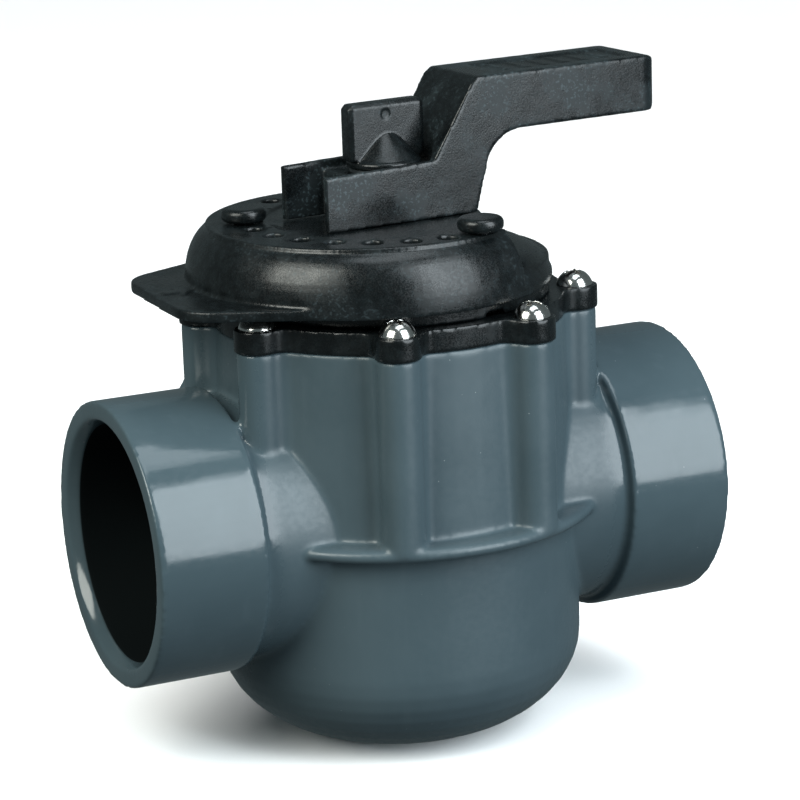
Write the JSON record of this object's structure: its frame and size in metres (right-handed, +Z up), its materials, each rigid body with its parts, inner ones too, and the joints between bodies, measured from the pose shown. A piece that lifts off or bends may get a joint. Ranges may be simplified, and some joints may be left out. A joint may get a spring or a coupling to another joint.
{
  "type": "three way valve",
  "caption": "Diverter valve with three solvent-socket pipe ports, a black index dome with stop pegs, and a cranked handle held by a wing knob.",
  "frame": {"origin": "centre of the flat foot under the barrel, on the stem axis", "axes": "+Z up along the stem, -X through the inlet port, +X through the outlet port, +Y through the second outlet"},
  "size_m": [0.1588, 0.125, 0.17],
  "materials": {
    "body_plastic": "satin moulded grey pipe plastic with a slight blue cast",
    "black_plastic": "fine spark-grain moulded black plastic",
    "inner_plastic": "smooth dark moulded plastic",
    "white_plastic": "smooth off-white bearing plastic",
    "rubber": "smooth black sealing rubber",
    "stainless": "bright pan head stainless steel",
    "brass": "turned brass"
  },
  "bodies": {
    "housing": {"valve_body": "body_plastic", "cover_plate": "black_plastic", "cover_seal": "rubber", "cover_screws": "stainless", "index_dome": "black_plastic", "pivot_bush": "white_plastic", "thrust_washer": "white_plastic"},
    "rotor": {"stem": "inner_plastic", "stem_o_ring_upper": "rubber", "stem_o_ring_lower": "rubber", "diverter": "inner_plastic", "diverter_seal": "rubber", "diverter_pin": "stainless", "stop_arm": "inner_plastic", "arm_clip": "stainless", "handle": "black_plastic", "stem_stud": "stainless", "knob_washer": "inner_plastic"},
    "knob": {"lock_knob": "black_plastic", "knob_insert": "brass"},
    "peg_left": {"stop_peg_left": "black_plastic"},
    "peg_right": {"stop_peg_right": "black_plastic"}
  },
  "joints": [
    {"name": "handle_turn", "type": "hinge", "parent": "housing", "child": "rotor", "pos_m": [0, 0, 0.108], "axis": [0, 0, 1], "range_deg": [-5, 85]},
    {"name": "lock_knob_turn", "type": "hinge", "parent": "rotor", "child": "knob", "pos_m": [0, 0, 0.15], "axis": [0, 0, 1], "range_deg": [0, 90]},
    {"name": "stop_peg_left_pull", "type": "slide", "parent": "housing", "child": "peg_left", "axis": [0, 0, 1], "range_m": [0, 0.012]},
    {"name": "stop_peg_right_pull", "type": "slide", "parent": "housing", "child": "peg_right", "axis": [0, 0, 1], "range_m": [0, 0.012]}
  ]
}
